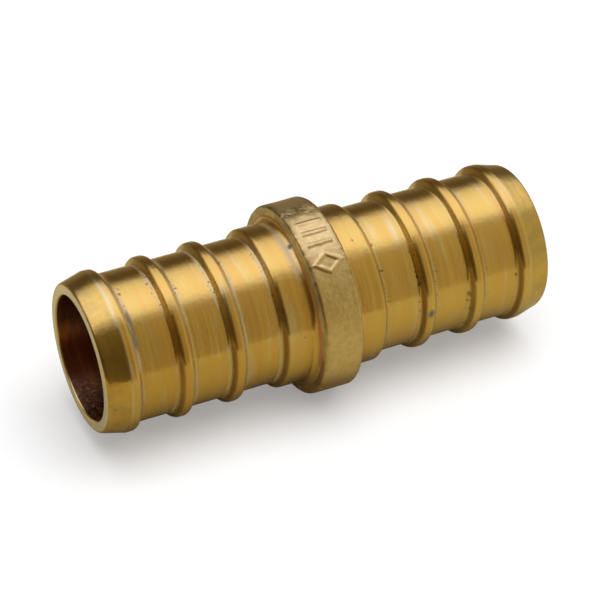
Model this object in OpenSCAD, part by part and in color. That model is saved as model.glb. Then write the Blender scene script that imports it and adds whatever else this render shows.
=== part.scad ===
// Barbed insert coupling that joins two half-inch plastic pipes end to end.
// The axis of the bore is X. The origin is on it, midway between the two ends.

/* [Bore] */
// Diameter of the bore that the water runs through
bore_d = 9.4; // [8:0.1:9.8]
// Width of the small chamfer at each mouth of the bore
mouth_chamfer = 0.12; // [0.05:0.01:0.2]

/* [Spigots] */
// Diameter over the crests, which fill the pipe
crest_d = 12.1; // [11.8:0.05:12.6]
// Diameter of the lands between the crests
land_d = 11.12; // [10.8:0.02:11.3]
// Distance from the middle of the coupling to the outer edge of the shoulder
shoulder_reach = 3.58; // [3:0.02:5]
// Distance from that edge to the first rib, and from each rib to the next
rib_pitch = 4.05; // [2.8:0.05:6]
// Ribs on each spigot, between its shoulder and its end barb
rib_count = 2; // [1:1:4]
// Width of the flat along the top of each rib
crest_flat = 0.29; // [0.1:0.01:0.5]
// Radius of the rounding at each edge of a crest
crest_round = 0.355; // [0.2:0.005:0.4]
// Radius of the fillet at the foot of each flank
foot_fillet = 0.15; // [0.1:0.01:0.3]
// Slope of the flanks, in degrees from the axis
flank_slope = 57; // [50:1:75]

/* [Nose] */
// Distance from the middle of the end barb to the end face
nose_len = 2.07; // [1.6:0.01:4]
// Diameter to which the nose tapers before its edge is rounded
nose_d = 11.3; // [11:0.05:11.6]
// Radius of the rounding from the nose to the end face
nose_round = 0.35; // [0.1:0.01:0.4]
// Radius of the rounding from the end barb's crest to the nose
brow_round = 0.57; // [0.1:0.01:0.8]

/* [Stop collar] */
// Diameter of the collar, which both pipes butt against
collar_d = 14.44; // [13.6:0.02:16]
// Width of the collar along the axis
collar_w = 3.1; // [2.2:0.1:4]
// Radius of the collar's outer corners
collar_round = 0.25; // [0.1:0.01:0.4]
// Radius of the fillet between each collar face and its shoulder
root_fillet = 0.45; // [0.1:0.01:0.6]

/* [Hidden] */
$fn = 96;

bore_r = bore_d / 2;
crest_r = crest_d / 2;
land_r = land_d / 2;
collar_r = collar_d / 2;
collar_face = collar_w / 2;
// The two spigots meet in the middle, inside the collar, at the radius where their fillets start
core_r = crest_r + root_fillet;
barb_x = shoulder_reach + (rib_count + 1) * rib_pitch;
end_x = barb_x + nose_len;

// Run of one flank along the axis, from the middle of its foot fillet to the edge of the crest
round_sum = crest_round + foot_fillet;
flank_rise = crest_r - land_r - round_sum * (1 - cos(flank_slope));
flank_run = round_sum * sin(flank_slope) + flank_rise / tan(flank_slope);

// The nose is the straight line that touches both its roundings
brow_centre = [barb_x + crest_flat / 2, crest_r - brow_round];
tip_centre = [end_x - nose_round, nose_d / 2 - nose_round];
nose_span = tip_centre - brow_centre;
nose_slope = asin((brow_round - nose_round) / norm(nose_span)) - atan2(nose_span.y, nose_span.x);

// Every outline is a list of [distance along the axis, radius]
function arc(centre, radius, from, to, steps) = [
    for (i = [0:steps])
        let (angle = from + (to - from) * i / steps)
            centre + radius * [cos(angle), sin(angle)]
];

// The flank on the collar's side of a rib, from the land up to the near edge of the crest
function rising_flank(x) = concat(
    arc([x - flank_run, land_r + foot_fillet], foot_fillet, -90, flank_slope - 90, 4),
    arc([x, crest_r - crest_round], crest_round, 90 + flank_slope, 90, 5)
);

// The flank on a rib's outer side, from the far edge of the crest down to the land
function falling_flank(x) = concat(
    arc([x, crest_r - crest_round], crest_round, 90, 90 - flank_slope, 5),
    arc([x + flank_run, land_r + foot_fillet], foot_fillet, -90 - flank_slope, -90, 4)
);

function shoulder_outline() = concat(
    [[0, bore_r], [0, core_r]],
    arc([collar_face + root_fillet, core_r], root_fillet, 180, 270, 6),
    falling_flank(shoulder_reach + crest_flat / 2)
);

function rib_outline(x) = concat(
    rising_flank(x - crest_flat / 2),
    falling_flank(x + crest_flat / 2)
);

function end_barb_outline() = concat(
    rising_flank(barb_x - crest_flat / 2),
    arc(brow_centre, brow_round, 90, 90 - nose_slope, 3),
    arc(tip_centre, nose_round, 90 - nose_slope, 0, 6)
);

function mouth_outline() = [
    [end_x, bore_r + mouth_chamfer],
    [end_x - mouth_chamfer, bore_r]
];

// Turns an outline about the X axis
module turned(outline) {
    rotate([0, 90, 0])
        rotate_extrude()
            polygon([for (point = outline) [point.y, point.x]]);
}

module barbed_spigot() {
    ribs = [for (i = [1:rib_count]) each rib_outline(shoulder_reach + i * rib_pitch)];
    turned(concat(shoulder_outline(), ribs, end_barb_outline(), mouth_outline()));
}

module right_barbed_spigot() {
    color("goldenrod") barbed_spigot();
}

module left_barbed_spigot() {
    color("goldenrod") mirror([1, 0, 0]) barbed_spigot();
}

module stop_collar() {
    corner_x = collar_face - collar_round;
    corner_r = collar_r - collar_round;
    color("darkkhaki")
        turned(concat(
            [[collar_face, core_r]],
            arc([corner_x, corner_r], collar_round, 0, 90, 6),
            arc([-corner_x, corner_r], collar_round, 90, 180, 6),
            [[-collar_face, core_r]]
        ));
}

left_barbed_spigot();
stop_collar();
right_barbed_spigot();
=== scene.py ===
"""Looks for a turned and forged brass coupling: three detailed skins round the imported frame, the studio and the
camera. Metres throughout, with X along the bore and Z up."""
import math

import bpy
import numpy as np
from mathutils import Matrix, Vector


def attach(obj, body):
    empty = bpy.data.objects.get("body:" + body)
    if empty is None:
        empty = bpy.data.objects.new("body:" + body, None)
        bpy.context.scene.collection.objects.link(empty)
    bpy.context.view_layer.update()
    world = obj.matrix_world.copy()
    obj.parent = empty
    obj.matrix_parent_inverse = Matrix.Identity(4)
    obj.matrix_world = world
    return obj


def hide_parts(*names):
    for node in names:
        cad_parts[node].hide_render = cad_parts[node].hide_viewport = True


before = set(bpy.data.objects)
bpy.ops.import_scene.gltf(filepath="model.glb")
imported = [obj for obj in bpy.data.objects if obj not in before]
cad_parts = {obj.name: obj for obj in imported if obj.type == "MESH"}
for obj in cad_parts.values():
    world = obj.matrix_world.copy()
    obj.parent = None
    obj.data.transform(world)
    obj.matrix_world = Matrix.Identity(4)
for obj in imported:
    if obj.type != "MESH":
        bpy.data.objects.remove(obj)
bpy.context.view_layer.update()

MM = 0.001
SEED = 11
# Places closer than this are the same
SAME = 1e-6

# ---------------------------------------------------------------- sizes, all from the frame

# The corners this near the bore's radius, and this near the end, belong to the bore's mouth
MOUTH_DEPTH = 0.3 * MM
MOUTH_LENGTH = 0.2 * MM
# A spigot's lands lie short of the first of these shares of its reach, and the end barb lies past the second
LANDS_END = 0.8
BARB_START = 0.5


def corners(node):
    """The corners of a turned node's outline as rows of (x, radius), with no repeats."""
    points = np.array([v.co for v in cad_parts[node].data.vertices], float)
    pairs = np.stack([points[:, 0], np.hypot(points[:, 1], points[:, 2])], 1)
    return np.unique(np.round(pairs, 6), axis=0)


spigot_corners = corners("right_barbed_spigot")
collar_corners = corners("stop_collar")
bore_r = spigot_corners[:, 1].min()
end_x = spigot_corners[:, 0].max()
collar_r = collar_corners[:, 1].max()
core_r = collar_corners[:, 1].min()
collar_face = collar_corners[:, 0].max()
outer = spigot_corners[spigot_corners[:, 0] > collar_face + SAME]
outer = outer[outer[:, 1] > bore_r + MOUTH_DEPTH]
land_r = outer[outer[:, 0] < LANDS_END * end_x, 1].min()
crest_r = outer[outer[:, 0] > BARB_START * end_x, 1].max()
# Where the end barb's crest stops and its rounding down to the nose starts
brow_x = outer[outer[:, 1] > crest_r - SAME, 0].max()

# ---------------------------------------------------------------- camera

VIEW_AZIMUTH = math.radians(-25.25)
VIEW_ELEVATION = math.radians(37.12)
VIEW_DISTANCE = 186.4 * MM
LENS_MM = 150.6
SENSOR_MM = 36.0
CLIP_START = 1 * MM
CLIP_END = 10.0
# How far right of the picture's middle and above it the origin sits
ORIGIN_RIGHT = 0.211 * MM
ORIGIN_UP = 0.362 * MM


def make_camera():
    """The photographed view. back points from the object to the camera."""
    back = Vector((
        math.sin(VIEW_AZIMUTH) * math.cos(VIEW_ELEVATION),
        -math.cos(VIEW_AZIMUTH) * math.cos(VIEW_ELEVATION),
        math.sin(VIEW_ELEVATION),
    ))
    data = bpy.data.cameras.new("camera")
    data.sensor_width = SENSOR_MM
    data.lens = LENS_MM
    data.clip_start = CLIP_START
    data.clip_end = CLIP_END
    camera = bpy.data.objects.new("camera", data)
    camera.rotation_mode = "QUATERNION"
    camera.rotation_quaternion = (-back).to_track_quat("-Z", "Y")
    right = camera.rotation_quaternion @ Vector((1, 0, 0))
    up = camera.rotation_quaternion @ Vector((0, 1, 0))
    camera.location = back * VIEW_DISTANCE - right * ORIGIN_RIGHT - up * ORIGIN_UP
    bpy.context.scene.collection.objects.link(camera)
    bpy.context.scene.camera = camera


make_camera()

# ---------------------------------------------------------------- noise and small helpers for the meshes


def smooth_step(low, high, value):
    t = np.clip((value - low) / (high - low), 0, 1)
    return t * t * (3 - 2 * t)


def between(start, end, ease, angle):
    """1 from one turn angle to another, easing to 0 around each of them. All in degrees, but for angle."""
    start, end, ease = math.radians(start), math.radians(end), math.radians(ease)
    return smooth_step(start - ease, start + ease, angle) * smooth_step(end + ease, end - ease, angle)


def hashed(cell, seed):
    """A number from -1 to 1 for each row of whole numbers, the same each time."""
    mixed = cell[:, 0] * 73856093 ^ cell[:, 1] * 19349663 ^ cell[:, 2] * 83492791 ^ seed * 2654435761
    mixed = (mixed ^ mixed >> 13) * 1274126177
    mixed = (mixed ^ mixed >> 16) & 0xFFFF
    return mixed / 32767.5 - 1


def lattice_noise(points, seed):
    """Smooth noise from -1 to 1 at rows of (x, y, z), with one lump to each unit."""
    base = np.floor(points).astype(np.int64)
    part = points - base
    part = part * part * part * (part * (part * 6 - 15) + 10)
    total = np.zeros(len(points))
    for corner in range(8):
        step = np.array([corner & 1, corner >> 1 & 1, corner >> 2 & 1])
        weight = np.prod(np.where(step, part, 1 - part), axis=1)
        total += weight * hashed(base + step, seed)
    return total


def layered_noise(points, size, layers, seed):
    """Layers of lattice_noise, each half the size and height of the last. size is the largest lump's."""
    total = np.zeros(len(points))
    for layer in range(layers):
        total += 0.5 ** layer * lattice_noise(points / size * 2 ** layer, seed + layer)
    return total


def round_points(x, r, angle):
    return np.stack([x, r * np.cos(angle), r * np.sin(angle)], 1)


# ---------------------------------------------------------------- outlines


def lengths_along(points):
    return np.r_[0, np.cumsum(np.hypot(*np.diff(points, axis=0).T))]


def resampled(points, step):
    """The same line with a point about every step of its length."""
    along = lengths_along(points)
    count = max(2, int(round(along[-1] / step)) + 1)
    places = np.linspace(0, along[-1], count)
    return np.stack([np.interp(places, along, points[:, k]) for k in (0, 1)], 1)


def softened(points, step, reach):
    """The line with its small facets blended over reach on each side. Its two ends stay."""
    count = max(1, int(round(reach / step)))
    kernel = np.hanning(2 * count + 3)[1:-1]
    kernel /= kernel.sum()
    before = 2 * points[0] - points[count:0:-1]
    after = 2 * points[-1] - points[-2:-count - 2:-1]
    long = np.vstack([before, points, after])
    return np.stack([np.convolve(long[:, k], kernel, "valid") for k in (0, 1)], 1)


# How many points a line's bend is averaged over
BEND_POINTS = 13


def graded(points, fine, coarse, bend_for_fine):
    """The line with points every fine where it bends sharply, easing to coarse where it is straight."""
    along = lengths_along(points)
    heading = np.unwrap(np.arctan2(np.gradient(points[:, 1], along), np.gradient(points[:, 0], along)))
    bend = np.abs(np.gradient(heading, along))
    kernel = np.hanning(BEND_POINTS + 2)[1:-1]
    bend = np.convolve(bend, kernel / kernel.sum(), "same")
    density = 1 / coarse + (1 / fine - 1 / coarse) * np.clip(bend / bend_for_fine, 0, 1)
    total = np.r_[0, np.cumsum((density[1:] + density[:-1]) / 2 * np.diff(along))]
    places = np.interp(np.linspace(0, total[-1], int(round(total[-1])) + 1), total, along)
    return np.stack([np.interp(places, along, points[:, k]) for k in (0, 1)], 1)


FINE_STEP = 0.02 * MM
SOFTEN = 0.03 * MM
RIB_STEP = 0.05 * MM
LAND_STEP = 0.095 * MM
BEND_FOR_FINE = 0.8 / MM
BORE_STEP = 0.8 * MM
# The bore's straight line stops this short of its mouth
MOUTH_GAP = 0.02 * MM
SPIGOT_SECTORS = 350


def spigot_line():
    """The right spigot's outline as a closed line: bore outwards, round the nose, back over the ribs."""
    near_mouth = (spigot_corners[:, 0] > end_x - MOUTH_LENGTH) & (spigot_corners[:, 1] < bore_r + MOUTH_DEPTH)
    mouth = spigot_corners[near_mouth]
    inner = resampled(np.array([[0, bore_r], mouth[0] - [MOUTH_GAP, 0]]), BORE_STEP)
    order = np.lexsort((outer[:, 1], -outer[:, 0]))
    over = resampled(np.vstack([mouth[-1:], outer[order]]), FINE_STEP)
    over = softened(over, FINE_STEP, SOFTEN)
    over = graded(over, RIB_STEP, LAND_STEP, BEND_FOR_FINE)
    over = np.vstack([over[:-1], [[collar_face, core_r]]])
    return np.vstack([inner, mouth[:1], over, [[0, core_r]]])


COLLAR_STEP = 0.04 * MM
COLLAR_SECTORS = 600
# The collar's rounded corners lie at least this far out from its inside
CORNER_RISE = 0.1 * MM


def collar_line():
    """The collar's outline as a closed line, over its outside from right to left and back along its inside."""
    top = collar_corners[collar_corners[:, 1] > core_r + CORNER_RISE]
    order = np.argsort(top[:, 0])[::-1]
    over = np.vstack([[[collar_face, core_r]], top[order], [[-collar_face, core_r]]])
    over = resampled(over, COLLAR_STEP)
    over = softened(over, COLLAR_STEP, SOFTEN)
    under = resampled(np.array([[-collar_face, core_r], [collar_face, core_r]]), BORE_STEP)
    return np.vstack([over, under[1:-1]])


# Keeps a division by a length from being one by zero
NO_LENGTH = 1e-12


def turning(line):
    """1 for a closed line that runs anticlockwise as (x, radius), and -1 for one that runs clockwise."""
    ahead = np.roll(line, -1, axis=0)
    return np.sign(np.sum(line[:, 0] * ahead[:, 1] - ahead[:, 0] * line[:, 1]))


def outward(line):
    """Unit normals of a closed line, away from its inside."""
    tangent = np.roll(line, -1, axis=0) - np.roll(line, 1, axis=0)
    tangent /= np.maximum(np.hypot(*tangent.T), NO_LENGTH)[:, None]
    return np.stack([tangent[:, 1], -tangent[:, 0]], 1) * turning(line)


def hollows(line):
    """For each point of a closed line, how sharply it curves inwards, in 1/metre."""
    normal = outward(line)
    across = np.roll(line, -1, axis=0) - np.roll(line, 1, axis=0)
    turn = np.sum((np.roll(normal, -1, axis=0) - np.roll(normal, 1, axis=0)) * across, axis=1)
    return -turn / np.maximum(np.hypot(*across.T), NO_LENGTH) ** 2


# ---------------------------------------------------------------- skins


def grid(rings, sectors):
    """The outline index and the turn angle of every point of a skin, ring by ring."""
    turn = np.arange(sectors) * 2 * math.pi / sectors
    index, angle = np.meshgrid(np.arange(rings), turn, indexing="ij")
    return index.ravel(), angle.ravel()


def skin_quads(rings, sectors):
    """The corners of every face of a skin that closes on itself both ways, ring by ring."""
    here, beside = np.arange(sectors), np.roll(np.arange(sectors), -1)
    quads = []
    for ring in range(rings):
        near, far = ring * sectors, (ring + 1) % rings * sectors
        quads.append(np.stack([near + here, far + here, far + beside, near + beside], 1))
    return np.concatenate(quads)


def turned_skin(name, line, sectors, relief, flat_close=False):
    """A closed solid turned about X from a closed line of (x, radius), then raised by relief along its normal.
    relief takes x, radius and turn angle, and gives metres. With flat_close, the face from the line's last point
    to its first is flat shaded, so that its edges stay sharp."""
    normal = outward(line)
    index, angle = grid(len(line), sectors)
    raised = relief(*line[index].T, angle)
    x = line[index, 0] + normal[index, 0] * raised
    r = line[index, 1] + normal[index, 1] * raised
    quads = skin_quads(len(line), sectors)
    if turning(line) > 0:
        quads = quads[:, ::-1]
    mesh = bpy.data.meshes.new(name)
    mesh.from_pydata(round_points(x, r, angle).tolist(), [], quads.tolist())
    smooth = np.ones(len(quads), bool)
    if flat_close:
        smooth[-sectors:] = False
    mesh.polygons.foreach_set("use_smooth", smooth)
    mesh.update()
    skin = bpy.data.objects.new(name, mesh)
    bpy.context.scene.collection.objects.link(skin)
    return skin


def add_point_values(skin, name, values):
    attribute = skin.data.attributes.new(name, "FLOAT", "POINT")
    attribute.data.foreach_set("value", values.astype(np.float32))


POINTS_PER_WAVE = 6


def ring_waves(chance, spacing, length):
    """A random wavy line with about the given spacing and unit height, as places and heights."""
    places = np.arange(0, length, spacing / POINTS_PER_WAVE)
    kernel = np.hanning(POINTS_PER_WAVE + 2)[1:-1]
    kernel /= np.sqrt((kernel ** 2).sum())
    return places, np.convolve(chance.normal(size=len(places)), kernel, "same")


# The spacing and height of each set of tool rings
TOOL_RINGS = ((0.42 * MM, 0.0016 * MM), (0.2 * MM, 0.0006 * MM))
# Unevenness of the turned faces: the size of its lumps, their height on a rib, how far up a rib's side they reach
# that height, and the share of it that every face has besides
UNEVEN_SIZE = 1.6 * MM
UNEVEN_HEIGHT = 0.007 * MM
UNEVEN_RISE = 0.3 * MM
UNEVEN_SHARE = 0.15
# The relief starts at the collar and is all there this far out from it
RELIEF_START = 0.5 * MM
# It stays off the bore and its mouth, which reach this far out from the bore's radius
BORE_CLEAR = 0.2 * MM
# The height of the burr on each end barb, its reach, and how far past the brow it stands
LEFT_BURR = 0.014 * MM
RIGHT_BURR = 0.006 * MM
BURR_REACH = 0.11 * MM
BURR_OFFSET = 0.14 * MM
# Dents, as (distance from the middle in mm, turn in degrees, radius in mm)
RIGHT_DENTS = ((7.64, 181, 0.36), (10.98, 176, 0.18), (14.98, 171, 0.12), (4.3, 118, 0.10), (2.9, 112, 0.10))
LEFT_DENTS = (
    (1.75, 104, 0.21), (17.3, 188, 0.10), (14.66, 94, 0.07), (14.8, 99.5, 0.13), (15.06, 104, 0.06),
    (14.88, 111, 0.08), (12.62, 97, 0.09), (12.6, 107, 0.07), (2.6, 170, 0.08),
)
DENT_DEPTH = 0.035 * MM
# Distances round the axis count this much in a dent, so it is a little longer that way
DENT_SQUEEZE = 0.8
# More dents lie beside the ribs by chance, this far from a foot, between these turns and of these radii in mm
CHANCE_DENTS = 14
CHANCE_SPREAD = 0.12
CHANCE_TURNS = (210, 410)
CHANCE_SIZES = (0.08, 0.15)
# A dark stain runs round the foot of the left end barb, this far from the middle in mm. It is twice this wide, lies
# between these turns, and wanders and swells along its length in lumps of this size.
STAIN_MM = 14.95
STAIN_HALF = 0.20 * MM
STAIN_TURNS = (115, 145, 4)
STAIN_LUMP = 0.7 * MM
STAIN_WANDER = 0.04 * MM
STAIN_SWELL = 0.4
STAIN_STRENGTH = 0.85
# Where the ribs' flanks meet the lands, the side nearer the collar and the side away from it
NEAR_FEET_MM = (6.85, 10.90, 14.95)
FAR_FEET_MM = (4.36, 8.41, 12.46)


def off_bore(r):
    """1 outside the bore's skin and its mouth, and 0 on them."""
    return r > bore_r + BORE_CLEAR


def dent_depths(x, r, angle, dents):
    """How deep each point lies in a dent, from 0 to 1."""
    depth = np.zeros(len(x))
    for place, degrees, size in dents:
        across = (angle - math.radians(degrees) + math.pi) % (2 * math.pi) - math.pi
        gap = np.hypot(x - place * MM, DENT_SQUEEZE * r * across) / (size * MM)
        depth = np.maximum(depth, np.exp(-2 * gap ** 4))
    return depth * off_bore(r)


def chance_dents(seed):
    """Small dents at the feet of the ribs, round the side that faces away from the marked one."""
    chance = np.random.default_rng(seed)
    feet = chance.choice(NEAR_FEET_MM + FAR_FEET_MM, CHANCE_DENTS)
    places = feet + chance.normal(size=CHANCE_DENTS) * CHANCE_SPREAD
    turns = chance.uniform(*CHANCE_TURNS, CHANCE_DENTS)
    sizes = chance.uniform(*CHANCE_SIZES, CHANCE_DENTS)
    return tuple(zip(places, turns, sizes))


def near_burr(x):
    """How near x is to the burr on the end barb, from 0 to 1."""
    return np.exp(-((x - brow_x - BURR_OFFSET) / BURR_REACH) ** 2)


def turning_relief(seed, burr, dents):
    """Tool rings on every turned face, slight unevenness on the ribs, a burr along the brow, and dents."""
    chance = np.random.default_rng(seed)
    waves = [(depth, *ring_waves(chance, spacing, end_x + MM)) for spacing, depth in TOOL_RINGS]

    def relief(x, r, angle):
        height = np.zeros(len(x))
        for depth, places, wave in waves:
            height += depth * np.interp(x, places, wave)
        uneven = UNEVEN_SHARE + smooth_step(land_r, land_r + UNEVEN_RISE, r)
        points = round_points(x, r, angle)
        height += UNEVEN_HEIGHT * uneven * layered_noise(points, UNEVEN_SIZE, 3, seed)
        height += burr * near_burr(x)
        height -= DENT_DEPTH * dent_depths(x, r, angle, dents)
        return height * smooth_step(collar_face, collar_face + RELIEF_START, x) * off_bore(r)

    return relief


def mirrored(relief):
    return lambda x, r, angle: relief(-x, r, angle)


# A point counts as hollow where the outline curves inwards more sharply than the first of these, and fully from the
# second on. That is spread over this many points on each side.
HOLLOW_FROM = 2.6 / MM
HOLLOW_FULL = 5.0 / MM
HOLLOW_SPREAD = 5


def spread(values, count):
    """The closed line's values blended over count points on each side, with the highest kept at its height."""
    kernel = np.hanning(2 * count + 3)[1:-1]
    wrapped = np.r_[values[-count:], values, values[:count]]
    return np.clip(np.convolve(wrapped, kernel / kernel[count - 1:count + 2].sum(), "valid"), 0, 1)


# Grey residue lies on both feet of every rib, in these amounts on the right spigot (1) and the left (-1). It is thin
# on the left-hand feet in the middle of the marked side.
GREY_OFFSET = 0.17 * MM
GREY_REACH = 0.25 * MM
GREY_AMOUNT = {1: 0.45, -1: 1.0}
LEFT_GREY = {1: 0.35, -1: 0.9}
LEFT_GREY_REACH = 0.12 * MM
LEFT_GREY_THIN = 0.15
LEFT_GREY_THIN_TURNS = (131, 161, 6)
# On the left spigot it lies before the fillet at the collar too, this far from the middle in mm, over these turns
ROOT_GREY_MM = 2.1
ROOT_GREY_REACH = 0.24 * MM
ROOT_GREY_TURNS = (60, 128, 9)
# Painted shade, a brown colour, lies on every left-hand flank. It is thin over the top, and thick from the first of
# these turns round to the second.
SHADE_THIN = 0.15
SHADE_TURNS = (150, 320, 20)
# It starts above the foot, between these heights over the land
SHADE_RISE = (0.05 * MM, 0.19 * MM)
# A flank counts as left-hand where the leftward part of its normal passes between these
SHADE_LEAN = (0.25, 0.7)
# The crests carry painted shade too, underneath the marked side, between these heights over the land and as far as
# the nose
CREST_SHADE = 0.6
CREST_SHADE_TURNS = (206, 320, 12)
CREST_RISE = (0.2 * MM, 0.4 * MM)
CREST_END = 0.4 * MM
# The painted shade stays this far from the collar
ROOT_CLEAR = 0.6 * MM
# A rust-coloured film fills the corner at the collar, fading out between these distances from the middle. It is
# thick between these turns.
ROOT_RUST = (1.57 * MM, 1.70 * MM)
RUST_THIN = 0.25
RUST_TURNS = (135, 203, 12)
# A painted reflection, bright spots, lies along the bottom of the bore, fading out between these distances from its
# mouth
REFLECTION_TURNS = (233, 302, 8)
REFLECTION_REACH = (3.0 * MM, 6.0 * MM)
REFLECTION_AMOUNT = 0.5


def near_feet(x, feet, offset, reach):
    """How near x is to the foot of a flank, or to offset beyond it, from 0 to 1."""
    gaps = [np.abs(x - foot * MM - offset) for foot in feet]
    return np.exp(-(np.min(gaps, axis=0) / reach) ** 2)


def grey_residue(x, r, angle, side):
    """How thick the grey residue lies on the right spigot (side 1) or the left (side -1), from 0 to 1."""
    right_feet, left_feet = (FAR_FEET_MM, NEAR_FEET_MM) if side > 0 else (NEAR_FEET_MM, FAR_FEET_MM)
    on_right = near_feet(x, right_feet, -side * GREY_OFFSET, GREY_REACH)
    on_left = near_feet(x, left_feet, 0, LEFT_GREY_REACH)
    on_left *= LEFT_GREY[side] * (1 - (1 - LEFT_GREY_THIN) * between(*LEFT_GREY_THIN_TURNS, angle))
    if side < 0:
        at_root = near_feet(x, (ROOT_GREY_MM,), 0, ROOT_GREY_REACH) * between(*ROOT_GREY_TURNS, angle)
        on_left = np.maximum(on_left, at_root)
    return np.maximum(GREY_AMOUNT[side] * on_right, on_left) * off_bore(r)


def painted_flank_shade(x, r, angle, leftward):
    """How thick the painted shade lies on the flanks and crests, from 0 to 1. leftward is the part of the normal
    that points left.
    """
    on_flank = smooth_step(*SHADE_LEAN, leftward) * smooth_step(*SHADE_RISE, r - land_r) * (x < brow_x)
    on_flank *= SHADE_THIN + (1 - SHADE_THIN) * between(*SHADE_TURNS, angle)
    on_crest = smooth_step(*CREST_RISE, r - land_r) * (x < brow_x + CREST_END)
    on_crest *= CREST_SHADE * between(*CREST_SHADE_TURNS, angle)
    return np.maximum(on_flank, on_crest) * (x > collar_face + ROOT_CLEAR)


def rust_film(x, angle):
    """How thick the rust-coloured film lies, from 0 to 1."""
    amount = RUST_THIN + (1 - RUST_THIN) * between(*RUST_TURNS, angle)
    return amount * (1 - smooth_step(*ROOT_RUST, x))


def foot_stain(x, r, angle):
    """How thick the dark stain lies, from 0 to 1."""
    wander = lattice_noise(np.stack([angle * r, 0 * x, 0 * x], 1) / STAIN_LUMP, SEED + 7)
    across = (x - STAIN_MM * MM - STAIN_WANDER * wander) / (STAIN_HALF * (1 + STAIN_SWELL * wander))
    return np.exp(-2 * across ** 4) * between(*STAIN_TURNS, angle) * off_bore(r)


# The bore's colour, painted shade with painted reflections, stops this short of the mouth chamfer and lies within
# this of the bore's radius
INSIDE_GAP = 0.01 * MM
INSIDE_DEPTH = 0.05 * MM
# The nose starts between these distances past the brow, and the end face is this near the end
NOSE_START = (0.1 * MM, 0.4 * MM)
END_NEAR = 0.04 * MM


def in_bore(line):
    """1 for the points of the line on the bore's wall, and 0 for the others."""
    mouth_x = line[line[:, 1] < bore_r + SAME, 0].max()
    return ((line[:, 1] < bore_r + INSIDE_DEPTH) & (line[:, 0] < mouth_x - INSIDE_GAP)).astype(float)


def ring_values(line, burr):
    """The values that are the same all round a spigot: for each name, one for each point of the line."""
    x, r = line.T
    inside = in_bore(line)
    return {
        "hollow": spread(smooth_step(HOLLOW_FROM, HOLLOW_FULL, hollows(line)), HOLLOW_SPREAD),
        "inside": inside,
        "end_face": (x > end_x - END_NEAR).astype(float),
        "nose": smooth_step(brow_x + NOSE_START[0], brow_x + NOSE_START[1], x) * (1 - inside),
        # edge: wear along the brow, partly a painted highlight
        "edge": near_burr(x) * (r > land_r) * burr / LEFT_BURR,
    }


def stain_values(line, side, dents):
    """The values that change round a spigot: for each name, one for each point of the skin."""
    index, angle = grid(len(line), SPIGOT_SECTORS)
    x, r = line[index].T
    fleck_reflection = REFLECTION_AMOUNT * in_bore(line)[index] * between(*REFLECTION_TURNS, angle)
    dent = dent_depths(x, r, angle, dents)
    if side < 0:
        dent = np.maximum(dent, STAIN_STRENGTH * foot_stain(x, r, angle))
    return {
        "grey": grey_residue(x, r, angle, side),
        # brown is the painted shade on the left-hand flanks and under the crests
        "brown": painted_flank_shade(x, r, angle, -side * outward(line)[index, 0]),
        "rust": rust_film(x, angle),
        "fleck_reflection": fleck_reflection * (1 - smooth_step(*REFLECTION_REACH, end_x - x)),
        "dent": dent,
    }


def turned_spigot(name, side, burr, dents, seed):
    """The skin of the right spigot (side 1) or the left (side -1), with the values that its material reads."""
    relief = turning_relief(seed, burr, dents)
    if side < 0:
        relief = mirrored(relief)
    line = spigot_line()
    skin = turned_skin(name, line * [side, 1], SPIGOT_SECTORS, relief, flat_close=True)
    for label, ring in ring_values(line, burr).items():
        add_point_values(skin, label, np.repeat(ring, SPIGOT_SECTORS))
    for label, values in stain_values(line, side, dents).items():
        add_point_values(skin, label, values)
    return skin


right = turned_spigot("turned_spigot_right", 1, RIGHT_BURR, RIGHT_DENTS + chance_dents(SEED), SEED)
left = turned_spigot("turned_spigot_left", -1, LEFT_BURR, LEFT_DENTS + chance_dents(SEED + 1), SEED + 1)


# The forged mark, a lozenge and three bars, by its places round the collar and its half sizes along X and round it
LOZENGE_TURN = math.radians(126)
LOZENGE_HALF = (1.0 * MM, 0.72 * MM)
BAR_TURNS = (math.radians(113), math.radians(105), math.radians(97))
BAR_HALF = (0.95 * MM, 0.12 * MM)
MARK_LINE = 0.11 * MM
MARK_EDGE = 0.11 * MM
MARK_HEIGHT = 0.075 * MM
# Its outline wobbles by this much, in lumps of this size, and it stops this short of the collar's faces
MARK_WOBBLE = 0.03 * MM
WOBBLE_SIZE = 0.4 * MM
MARK_MARGIN = 0.2 * MM
# The size and height of the forged skin's lumps, of its sand, and of the scale where it is tarnished
LUMPS = (1.1 * MM, 0.012 * MM)
SAND = (0.24 * MM, 0.004 * MM)
SCALE = (0.5 * MM, 0.022 * MM)
# The relief rises to its full height between these distances, out from the core and in from the collar's outside
FORGED_START = 0.1 * MM
FORGED_FULL = 0.1 * MM
# How far the residue in the corner at the collar's foot climbs its faces
ROOT_REACH = 0.09 * MM
# Tarnish lies this far in from both edges, and thins by this much between these turns. It starts between these
# distances in from the collar's outside.
EDGE_TARNISH = 0.30 * MM
EDGE_THINS = (math.radians(125), math.radians(150))
EDGE_THINS_BY = 0.65
TARNISH_DEPTH = (0.3 * MM, 0.1 * MM)
# Over the top, between these turns, it is painted shade as well as real tarnishing
TOP_SHADE_TURNS = (77, 91, 5)
# The collar's faces carry painted shade, a brown colour, between the first of these turns, and its outside carries
# it between the second
BROWN_TURNS = (185, 320, 18)
LOW_BROWN_TURNS = (204, 320, 12)
# A point counts as on a face where the sideways part of its normal passes between these
FACE_LEAN = (0.75, 0.98)


def collar_tarnish_and_shade(x, r, angle):
    """How tarnished the collar is along both its edges, and how thick the painted shade, partly real tarnishing,
    lies in a patch over its top.
    """
    at_edge = np.exp(-((collar_face - np.abs(x)) / EDGE_TARNISH) ** 2)
    at_edge *= 1 - EDGE_THINS_BY * smooth_step(*EDGE_THINS, angle)
    over_top = between(*TOP_SHADE_TURNS, angle)
    deep, shallow = TARNISH_DEPTH
    return np.maximum(at_edge, over_top) * smooth_step(collar_r - deep, collar_r - shallow, r)


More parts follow.
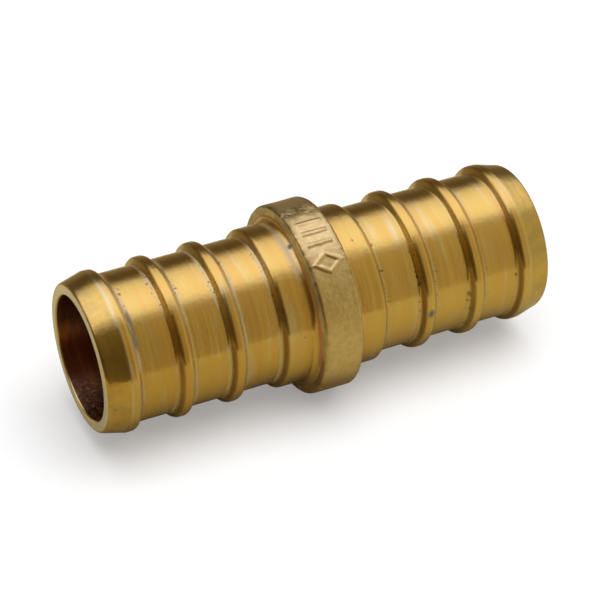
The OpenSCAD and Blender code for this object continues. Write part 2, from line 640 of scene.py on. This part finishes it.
def mark_height(x, angle):
    """The raised mark, from 0 to 1, with sloping edges."""
    places = np.stack([x, angle * collar_r, 0 * x], 1)
    wobble = MARK_WOBBLE * lattice_noise(places / WOBBLE_SIZE, SEED + 9)
    far, wide = LOZENGE_HALF
    around = (angle - LOZENGE_TURN) * collar_r
    rim = np.abs(np.abs(x) / far + np.abs(around) / wide - 1) * far * wide / math.hypot(far, wide)
    gap = rim - MARK_LINE
    long, thick = BAR_HALF
    for turn in BAR_TURNS:
        around = np.abs((angle - turn) * collar_r)
        gap = np.minimum(gap, np.maximum(np.abs(x) - long, around - thick))
    return 1 - smooth_step(-MARK_EDGE / 2, MARK_EDGE, gap + wobble)


def layer_height(points, size_and_height, seed):
    """The height in metres of two layers of noise, whose largest lumps have this size and height."""
    size, height = size_and_height
    return layered_noise(points, size, 2, seed) * height


def forged_relief(x, r, angle):
    points = round_points(x, r, angle)
    skin = layer_height(points, LUMPS, SEED) + layer_height(points, SAND, SEED + 5)
    skin += layer_height(points, SCALE, SEED + 3) * collar_tarnish_and_shade(x, r, angle)
    skin += MARK_HEIGHT * mark_height(x, angle) * (np.abs(x) < collar_face - MARK_MARGIN)
    return skin * smooth_step(core_r + FORGED_START, collar_r - FORGED_FULL, r)


def forged_collar():
    """The collar's skin, with the values that its material reads."""
    line = collar_line()
    skin = turned_skin("forged_collar", line, COLLAR_SECTORS, forged_relief)
    index, angle = grid(len(line), COLLAR_SECTORS)
    x, r = line[index].T
    sideways = np.abs(outward(line)[index, 0])
    for label, values in {
        "side_face": smooth_step(*FACE_LEAN, sideways),
        "root": np.exp(-((r - core_r) / ROOT_REACH) ** 2) * rust_film(0, angle),
        "tarnish_and_shade": collar_tarnish_and_shade(x, r, angle),
        # brown and low_brown are painted shade on the faces and underneath
        "brown": between(*BROWN_TURNS, angle),
        "low_brown": between(*LOW_BROWN_TURNS, angle),
    }.items():
        add_point_values(skin, label, values)
    return skin


collar = forged_collar()
for skin, node in ((right, "right_barbed_spigot"), (left, "left_barbed_spigot"), (collar, "stop_collar")):
    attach(skin, "root")
    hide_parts(node)

# ---------------------------------------------------------------- materials


def principled(name):
    material = bpy.data.materials.new(name)
    material.use_nodes = True
    return material, material.node_tree, material.node_tree.nodes["Principled BSDF"]


def add(tree, kind, inputs=None, **settings):
    """A new node. inputs gives each input, by name or number, a value or another node's output."""
    made = tree.nodes.new(kind)
    for key, value in settings.items():
        setattr(made, key, value)
    for key, value in (inputs or {}).items():
        if isinstance(value, bpy.types.NodeSocket):
            tree.links.new(value, made.inputs[key])
        else:
            made.inputs[key].default_value = value
    return made


def maths(tree, operation, *values):
    return add(tree, "ShaderNodeMath", dict(enumerate(values)), operation=operation).outputs[0]


def fade(tree, value, low, high, start=0.0, end=1.0):
    """Eases from start to end as value goes from low to high."""
    inputs = {"Value": value, "From Min": low, "From Max": high, "To Min": start, "To Max": end}
    return add(tree, "ShaderNodeMapRange", inputs, interpolation_type="SMOOTHSTEP").outputs["Result"]


def fade_straight(tree, value, low, high):
    """Goes evenly from 0 to 1 as value goes from low to high."""
    return add(tree, "ShaderNodeMapRange", {"Value": value, "From Min": low, "From Max": high}).outputs["Result"]


def tinted(tree, level, colour):
    return add(tree, "ShaderNodeVectorMath", {0: level, 1: colour}, operation="MULTIPLY").outputs[0]


def blend(tree, amount, first, second):
    """The first colour turning into the second as amount goes from 0 to 1."""
    # The Mix node has a set of sockets for each type of data, and its colours are numbers 6 and 7
    inputs = {0: amount, 6: first, 7: second}
    inputs = {socket: (*value, 1) if isinstance(value, tuple) else value for socket, value in inputs.items()}
    return add(tree, "ShaderNodeMix", inputs, data_type="RGBA").outputs[2]


def noise(tree, place, scale, detail=2.0, roughness=0.5):
    """Noise at place stretched by scale, which gives lumps to the metre along X, Y and Z."""
    stretched = add(tree, "ShaderNodeMapping", {"Vector": place, "Scale": scale}).outputs[0]
    inputs = {"Vector": stretched, "Scale": 1.0, "Detail": detail, "Roughness": roughness}
    return add(tree, "ShaderNodeTexNoise", inputs).outputs["Fac"]


def point_value(tree, name):
    return add(tree, "ShaderNodeAttribute", attribute_name=name).outputs["Fac"]


def patchy(tree, name, texture, levels):
    """A point value broken up by a noise, which fades between levels as in fade."""
    return maths(tree, "MULTIPLY", point_value(tree, name), fade(tree, texture, *levels))


def bumped(tree, height, distance, under=None):
    """The normal of a surface raised by up to distance, on top of another bump's normal."""
    inputs = {"Height": height, "Strength": 1.0, "Distance": distance}
    if under is not None:
        inputs["Normal"] = under
    return add(tree, "ShaderNodeBump", inputs).outputs[0]


GOLD = (0.80, 0.53, 0.135)
ORANGE = (0.83, 0.50, 0.13)
OLIVE = (0.70, 0.48, 0.13)
PALE = (0.82, 0.61, 0.29)
# The pale of the worn edge along the brow, partly a painted highlight
WORN_AND_HIGHLIGHT = (0.85, 0.68, 0.38)
END_PALE = (0.98, 0.83, 0.58)
NOSE_DULL = (0.62, 0.43, 0.14)
RESIDUE = (0.59, 0.485, 0.30)
# The brown of the painted shade on the left-hand flanks and under the crests
FLANK_SHADE_BROWN = (0.34, 0.18, 0.05)
RUST = (0.44, 0.17, 0.035)
TEAL = (0.12, 0.135, 0.11)
DARK_SPECK = (0.10, 0.085, 0.05)
# Inside the bore: darker, redder brass as painted shade, orange rings partly reaming marks and partly painted
# reflection, and bright spots of painted reflection among dark pits
BORE_DARK = (0.56, 0.30, 0.19)
BORE_RED = (0.92, 0.46, 0.16)
BORE_REFLECTION = (0.66, 0.31, 0.08)
BORE_SHADE = (0.26, 0.11, 0.06)
# The noises of the turned brass, as (lumps to the metre along X, Y and Z, detail, roughness)
RINGS = ((1500, 50, 50), 4.0, 0.6)
DULL_RINGS = ((2900, 110, 110), 2.0, 0.6)
PALE_RINGS = ((1300, 170, 170), 3.0, 0.6)
SMUDGES = ((700, 900, 900), 4.0, 0.65)
REAMING = ((1500, 300, 300), 3.0, 0.6)
PITTING = ((4300, 5000, 5000), 2.0, 0.6)
PATCHES = ((1000, 300, 300), 3.0, 0.65)
SPECKS = ((5200, 4200, 4200), 2.0, 0.6)
SPECK_PLACES = ((220, 220, 220),)
GROOVES = ((8000, 80, 80),)
MOTTLE = ((3000, 3000, 3000),)
# The noise levels between which each shows, with its least and most where they aren't 0 and 1
RINGS_SHOW = (0.35, 0.65)
DULL_RINGS_SHOW = (0.55, 0.85)
PALE_RINGS_SHOW = (0.52, 0.74)
SMUDGES_SHOW = (0.40, 0.62, 0.0, 0.6)
REAMING_SHOWS = (0.48, 0.66)
PITTING_SHOWS = (0.46, 0.70)
SPECKS_SHOW = (0.60, 0.68)
SPECK_PLACES_SHOW = (0.5, 0.6)
SPECK_HOLLOWS = (0.03, 0.3)
BROWN_SHOWS = (0.3, 0.6, 0.6, 0.95)
GREY_SHOWS = (0.36, 0.6, 0.35, 1.0)
RUST_SHOWS = (0.3, 0.6, 0.5, 1.0)
DENTS_SHOW = (0.25, 0.5, 0.65, 1.0)
EDGE_WEAR_AND_HIGHLIGHT = 0.8
# How much of the metal's gloss is left under a full film, and how far each part counts as filmed
FILM_METALLIC = 0.7
BROWN_DULLS = 0.3
END_DULLS = 0.45
RUST_DULLS = 0.5
REFLECTION_DULLS = 0.4
# Roughness, over the rings as in fade, and what a full film adds to it
RING_ROUGHNESS = (0.3, 0.7, 0.21, 0.27)
FILM_ROUGHNESS = 0.16
# Highlights spread across the tool rings, by this much, with the tangent turned by this share of a turn
ANISOTROPY = 0.85
ANISOTROPY_TURN = 0.25
GROOVE_DEPTH = 0.004 * MM
MOTTLE_DEPTH = 0.007 * MM


def clean_colour(tree, place, rings):
    """Turned metal in rings of four tints, with a smudged nose, a worn edge that is partly a painted highlight, and
    a pale end face.
    """
    colour = blend(tree, fade(tree, rings, *RINGS_SHOW), GOLD, ORANGE)
    colour = blend(tree, fade(tree, noise(tree, place, *DULL_RINGS), *DULL_RINGS_SHOW), colour, OLIVE)
    colour = blend(tree, fade(tree, noise(tree, place, *PALE_RINGS), *PALE_RINGS_SHOW), colour, PALE)
    colour = blend(tree, patchy(tree, "nose", noise(tree, place, *SMUDGES), SMUDGES_SHOW), colour, NOSE_DULL)
    colour = blend(tree, maths(tree, "MULTIPLY", point_value(tree, "edge"), EDGE_WEAR_AND_HIGHLIGHT), colour, WORN_AND_HIGHLIGHT)
    return blend(tree, point_value(tree, "end_face"), colour, END_PALE)


def bore_colour(tree, place, pitting):
    """Painted shade inside the bore, with orange rings that are partly reaming marks and partly painted reflection,
    and bright spots of painted reflection among dark pits near the mouth.
    """
    reaming = fade(tree, noise(tree, place, *REAMING), *REAMING_SHOWS)
    pitted = blend(tree, pitting, BORE_SHADE, BORE_REFLECTION)
    return blend(tree, point_value(tree, "fleck_reflection"), blend(tree, reaming, BORE_DARK, BORE_RED), pitted)


def speck_amount(tree, place):
    """Small dark specks in the hollows, in some places only."""
    hollow = fade(tree, point_value(tree, "hollow"), *SPECK_HOLLOWS)
    speck = maths(tree, "MULTIPLY", hollow, fade(tree, noise(tree, place, *SPECKS), *SPECKS_SHOW))
    return maths(tree, "MULTIPLY", speck, fade(tree, noise(tree, place, *SPECK_PLACES), *SPECK_PLACES_SHOW))


def turned_normal(tree, place):
    """Fine grooves with a mottle over them."""
    grooves = bumped(tree, noise(tree, place, *GROOVES), GROOVE_DEPTH)
    return bumped(tree, noise(tree, place, *MOTTLE), MOTTLE_DEPTH, grooves)


def turned_brass():
    material, tree, shader = principled("turned_brass")
    place = add(tree, "ShaderNodeTexCoord").outputs["Object"]
    rings = noise(tree, place, *RINGS)
    pitting = fade(tree, noise(tree, place, *PITTING), *PITTING_SHOWS)
    patches = noise(tree, place, *PATCHES)
    # brown: painted shade on the flanks and crests
    brown = patchy(tree, "brown", patches, BROWN_SHOWS)
    grey = patchy(tree, "grey", patches, GREY_SHOWS)
    rust = patchy(tree, "rust", patches, RUST_SHOWS)
    clean, bore = clean_colour(tree, place, rings), bore_colour(tree, place, pitting)
    # Inside the bore the colour is painted shade with painted reflections
    colour = blend(tree, point_value(tree, "inside"), clean, bore)
    # Painted shade, brown, on the left-hand flanks and under the crests
    colour = blend(tree, brown, colour, FLANK_SHADE_BROWN)
    colour = blend(tree, grey, colour, RESIDUE)
    colour = blend(tree, speck_amount(tree, place), colour, DARK_SPECK)
    colour = blend(tree, rust, colour, RUST)
    colour = blend(tree, patchy(tree, "dent", patches, DENTS_SHOW), colour, TEAL)
    tree.links.new(colour, shader.inputs["Base Color"])
    dull = maths(tree, "MULTIPLY_ADD", brown, BROWN_DULLS, grey)
    dull = maths(tree, "MAXIMUM", dull, point_value(tree, "dent"))
    end_film = maths(tree, "MULTIPLY", point_value(tree, "end_face"), END_DULLS)
    metal = fade(tree, maths(tree, "MAXIMUM", dull, end_film), 0.0, 1.0, 1.0, FILM_METALLIC)
    metal = maths(tree, "MULTIPLY_ADD", rust, -RUST_DULLS, metal)
    reflected_fleck = maths(tree, "MULTIPLY", point_value(tree, "fleck_reflection"), pitting)
    tree.links.new(maths(tree, "MULTIPLY_ADD", reflected_fleck, -REFLECTION_DULLS, metal), shader.inputs["Metallic"])
    rough = maths(tree, "MULTIPLY_ADD", dull, FILM_ROUGHNESS, fade(tree, rings, *RING_ROUGHNESS))
    tree.links.new(rough, shader.inputs["Roughness"])
    shader.inputs["Anisotropic"].default_value = ANISOTROPY
    shader.inputs["Anisotropic Rotation"].default_value = ANISOTROPY_TURN
    tangent = add(tree, "ShaderNodeTangent", direction_type="RADIAL", axis="X")
    tree.links.new(tangent.outputs[0], shader.inputs["Tangent"])
    tree.links.new(turned_normal(tree, place), shader.inputs["Normal"])
    return material


FORGED = (0.83, 0.61, 0.28)
FORGED_DULL = (0.75, 0.53, 0.22)
FACE_BRIGHT = (0.74, 0.54, 0.20)
FACE_DULL = (0.50, 0.38, 0.16)
# The brown of the painted shade on the collar's faces and underneath
FACE_BROWN = (0.30, 0.14, 0.04)
# Tarnishing along the collar's edges, and painted shade with some tarnishing over its top
TARNISH_AND_SHADE = (0.28, 0.20, 0.055)
# The noises of the forged brass, and the levels between which they show, as for the turned brass
FORGED_SAND = ((2600, 2600, 2600), 4.0, 0.65)
BLOTCHES = ((900, 900, 900), 4.0, 0.65)
FORGED_GRAIN = ((5500, 5500, 5500), 3.0, 0.6)
SAND_SHOWS = (0.35, 0.7)
BLOTCHES_SHOW = (0.40, 0.58)
FACE_BROWN_SHOWS = (0.35, 0.55, 0.6, 0.9)
LOW_BROWN_SHOWS = (0.35, 0.55, 0.4, 0.7)
TARNISH_AND_SHADE_SHOWS = (0.40, 0.57, 0.25, 1.0)
# How far a face counts as filmed, and how much of the metal's gloss the root's residue takes
FACE_DULLS = 0.8
ROOT_DULLS = 0.4
# Roughness, over the sand as in fade, and what a face adds to it
SAND_ROUGHNESS = (0.3, 0.7, 0.33, 0.41)
FACE_ROUGHNESS = 0.05
GRAIN_DEPTH = 0.014 * MM


def forged_colour(tree, sand, blotches, side_face):
    """Sandy metal with tarnished edges, painted shade over its top that is partly real tarnishing, brown painted
    shade on its faces and underneath, and duller faces.
    """
    colour = blend(tree, fade(tree, sand, *SAND_SHOWS), FORGED, FORGED_DULL)
    # Tarnishing at the edges, and painted shade with some tarnishing over the top
    colour = blend(tree, patchy(tree, "tarnish_and_shade", blotches, TARNISH_AND_SHADE_SHOWS), colour, TARNISH_AND_SHADE)
    # Painted shade underneath the collar
    colour = blend(tree, patchy(tree, "low_brown", blotches, LOW_BROWN_SHOWS), colour, FACE_BROWN)
    face = blend(tree, fade(tree, blotches, *BLOTCHES_SHOW), FACE_BRIGHT, FACE_DULL)
    # Painted shade on the collar's faces
    face = blend(tree, patchy(tree, "brown", blotches, FACE_BROWN_SHOWS), face, FACE_BROWN)
    return blend(tree, side_face, colour, face)


def forged_brass():
    material, tree, shader = principled("forged_brass")
    place = add(tree, "ShaderNodeTexCoord").outputs["Object"]
    sand = noise(tree, place, *FORGED_SAND)
    blotches = noise(tree, place, *BLOTCHES)
    side_face = point_value(tree, "side_face")
    root = point_value(tree, "root")
    colour = forged_colour(tree, sand, blotches, side_face)
    tree.links.new(blend(tree, root, colour, RUST), shader.inputs["Base Color"])
    dull = maths(tree, "MAXIMUM", root, maths(tree, "MULTIPLY", side_face, FACE_DULLS))
    metal = fade(tree, dull, 0.0, 1.0, 1.0, FILM_METALLIC)
    tree.links.new(maths(tree, "MULTIPLY_ADD", root, -ROOT_DULLS, metal), shader.inputs["Metallic"])
    rough = maths(tree, "MULTIPLY_ADD", side_face, FACE_ROUGHNESS, fade(tree, sand, *SAND_ROUGHNESS))
    tree.links.new(rough, shader.inputs["Roughness"])
    grain = bumped(tree, noise(tree, place, *FORGED_GRAIN), GRAIN_DEPTH)
    tree.links.new(grain, shader.inputs["Normal"])
    return material


turned = turned_brass()
forged = forged_brass()
for skin, material, slot in (
    (right, turned, "turned_brass"),
    (left, turned, "turned_brass"),
    (collar, forged, "forged_brass"),
):
    skin.data.materials.append(material)

# ---------------------------------------------------------------- stage


def plane(name, low, high, height):
    """A level card between two corners (x, y)."""
    mesh = bpy.data.meshes.new(name)
    around = ((low[0], low[1]), (high[0], low[1]), (high[0], high[1]), (low[0], high[1]))
    mesh.from_pydata([(x, y, height) for x, y in around], [], [(0, 1, 2, 3)])
    card = bpy.data.objects.new(name, mesh)
    bpy.context.scene.collection.objects.link(card)
    return card


def plain_paper(name, colour=(1.0, 1.0, 1.0)):
    material, tree, shader = principled(name)
    shader.inputs["Base Color"].default_value = (*colour, 1)
    shader.inputs["Roughness"].default_value = 1.0
    shader.inputs["Specular IOR Level"].default_value = 0.0
    return material


def light_table(name):
    """A pale floor lit softly from below, so that shadows on it are light."""
    material = plain_paper(name, FLOOR_COLOUR)
    shader = material.node_tree.nodes["Principled BSDF"]
    shader.inputs["Emission Color"].default_value = (1, 1, 1, 1)
    shader.inputs["Emission Strength"].default_value = FLOOR_GLOW
    return material


def graded_paper(name):
    """Paper with painted shade, darker towards the left along X, and a painted shadow, darker close to the object.
    """
    material = plain_paper(name)
    tree = material.node_tree
    place = add(tree, "ShaderNodeSeparateXYZ", {"Vector": add(tree, "ShaderNodeTexCoord").outputs["Object"]})
    along = fade_straight(tree, place.outputs["X"], *PAPER_TURN)
    shade = fade(tree, maths(tree, "ABSOLUTE", place.outputs["Y"]), *PAPER_FADE, PAPER_SHADE, 1.0)
    colour = tinted(tree, shade, blend(tree, along, PAPER_LEFT, PAPER_RIGHT))
    tree.links.new(colour, tree.nodes["Principled BSDF"].inputs["Base Color"])
    return material


FLOOR_HALF = 2.0
# The floor is this far under the collar, and the paper this far over the floor
FLOOR_GAP = 0.05 * MM
PAPER_GAP = 0.02 * MM
FLOOR_COLOUR = (0.72, 0.72, 0.72)
FLOOR_GLOW = 0.25
# The grey paper that the brass reflects in place of the pale floor
# Its darker left end is painted shade
PAPER_LEFT = (0.365, 0.315, 0.165)
PAPER_RIGHT = (0.455, 0.43, 0.28)
PAPER_TURN = (-14 * MM, 14 * MM)
# It carries a painted shadow, darker close to the object by this much, out to these distances on each side
PAPER_SHADE = 0.87
PAPER_FADE = (5 * MM, 14 * MM)
PAPER_LOW = (-60 * MM, -56 * MM)
PAPER_HIGH = (100 * MM, 40 * MM)

floor_z = -collar_r - FLOOR_GAP
floor = plane("floor", (-FLOOR_HALF, -FLOOR_HALF), (FLOOR_HALF, FLOOR_HALF), floor_z)
floor.data.materials.append(light_table("floor"))
floor.visible_glossy = False
paper = plane("paper", PAPER_LOW, PAPER_HIGH, floor_z + PAPER_GAP)
paper.data.materials.append(graded_paper("paper"))
paper.visible_camera = False
paper.visible_diffuse = False
paper.visible_shadow = False

SUN_STRENGTH = 2.2
SUN_WIDTH = math.radians(60)
SUN_TILT = (math.radians(12), math.radians(8), 0)


def soft_sun():
    data = bpy.data.lights.new("soft_sun", "SUN")
    data.energy = SUN_STRENGTH
    data.angle = SUN_WIDTH
    light = bpy.data.objects.new("soft_sun", data)
    light.rotation_euler = SUN_TILT
    light.visible_glossy = False
    bpy.context.scene.collection.objects.link(light)


soft_sun()

# The room that the brass reflects. In front of the object it runs from dark at the left to pale at the right, as
# (X of the direction, level). Overhead is a soft box, as (degrees over from the front horizon, level).
FRONT_LEVELS = (
    (-1.0, 0.05), (-0.7, 0.085), (-0.3, 0.09), (-0.05, 0.102), (0.22, 0.28), (0.32, 0.335), (0.37, 0.48),
    (0.41, 0.53), (0.46, 0.53), (0.56, 0.48), (0.75, 0.47), (1.0, 0.42),
)
# It is a little paler above the horizon, by up to this much between these degrees
FRONT_RISE = (25, 66, 0.0, 0.045)
# Its tint, which turns into another at the right, between these X of the direction
FRONT_TINT = (1.0, 0.765, 0.35)
RIGHT_TINT = (1.0, 0.95, 0.66)
RIGHT_FADE = (0.32, 0.40)
BOX_LEVELS = (
    (60, 0.40), (70, 0.45), (77, 0.68), (84, 0.92), (92, 1.04), (104, 1.06), (119, 1.0), (136, 0.82), (146, 0.58),
    (160, 0.30),
)
BOX_COLOUR = (1.13, 1.15, 1.36)
# The box fades in from the front between these degrees, and between these X of the direction at each end
BOX_START = (60, 84)
BOX_LEFT = (-0.88, -0.70)
BOX_RIGHT = (0.95, 0.6)
# The dim room behind the object, which takes over from the box between these degrees
BACK_COLOUR = (0.11, 0.085, 0.05)
BACK_FADE = (136, 157)
# Behind and below that, the far floor
FAR_COLOUR = (0.21, 0.17, 0.105)
FAR_FADE = (170, 186)
# What lights the floor and other dull surfaces, besides the sun
AMBIENT = (0.5, 0.5, 0.5)
# What the camera sees past the floor's edge
CAMERA_COLOUR = (0.95, 0.95, 0.95)
# The angle over goes from straight down, below the front horizon, round to straight down again
OVER_LOW = -90.0
OVER_HIGH = 270.0


def level_ramp(tree, place, levels):
    """A grey ramp along place through the given (place, level) pairs, the first and last of them its ends."""
    low, high = levels[0][0], levels[-1][0]
    ramp = add(tree, "ShaderNodeValToRGB", {"Fac": fade_straight(tree, place, low, high)})
    stops = ramp.color_ramp.elements
    for at, _ in levels[1:-1]:
        stops.new((at - low) / (high - low))
    for stop, (at, level) in zip(stops, levels):
        stop.position = (at - low) / (high - low)
        stop.color = (level, level, level, 1)
    return ramp.outputs[0]


def studio_room():
    """A soft overhead box in a darker room. Directions go over from the front horizon at 0 degrees, past the
    zenith, to the back horizon at 180."""
    world = bpy.data.worlds.new("studio")
    bpy.context.scene.world = world
    world.use_nodes = True
    tree = world.node_tree
    background = tree.nodes["Background"]
    towards = add(tree, "ShaderNodeTexCoord").outputs["Generated"]
    parts = add(tree, "ShaderNodeSeparateXYZ", {"Vector": towards})
    side = parts.outputs["X"]
    ahead = maths(tree, "MULTIPLY", parts.outputs["Y"], -1.0)
    over = maths(tree, "DEGREES", maths(tree, "ARCTAN2", parts.outputs["Z"], ahead))
    over = maths(tree, "WRAP", over, OVER_HIGH, OVER_LOW)
    tint = blend(tree, fade(tree, side, *RIGHT_FADE), FRONT_TINT, RIGHT_TINT)
    level = maths(tree, "ADD", level_ramp(tree, side, FRONT_LEVELS), fade(tree, over, *FRONT_RISE))
    front = tinted(tree, level, tint)
    box = tinted(tree, level_ramp(tree, over, BOX_LEVELS), BOX_COLOUR)
    back = blend(tree, fade(tree, over, *FAR_FADE), BACK_COLOUR, FAR_COLOUR)
    box = blend(tree, fade(tree, over, *BACK_FADE), box, back)
    across = maths(tree, "MULTIPLY", fade(tree, side, *BOX_LEFT), fade(tree, side, *BOX_RIGHT))
    in_box = maths(tree, "MULTIPLY", across, fade(tree, over, *BOX_START))
    colour = blend(tree, in_box, front, box)
    ray = add(tree, "ShaderNodeLightPath").outputs
    colour = blend(tree, ray["Is Diffuse Ray"], colour, AMBIENT)
    tree.links.new(blend(tree, ray["Is Camera Ray"], colour, CAMERA_COLOUR), background.inputs["Color"])


studio_room()
bpy.context.scene.view_settings.view_transform = "Standard"
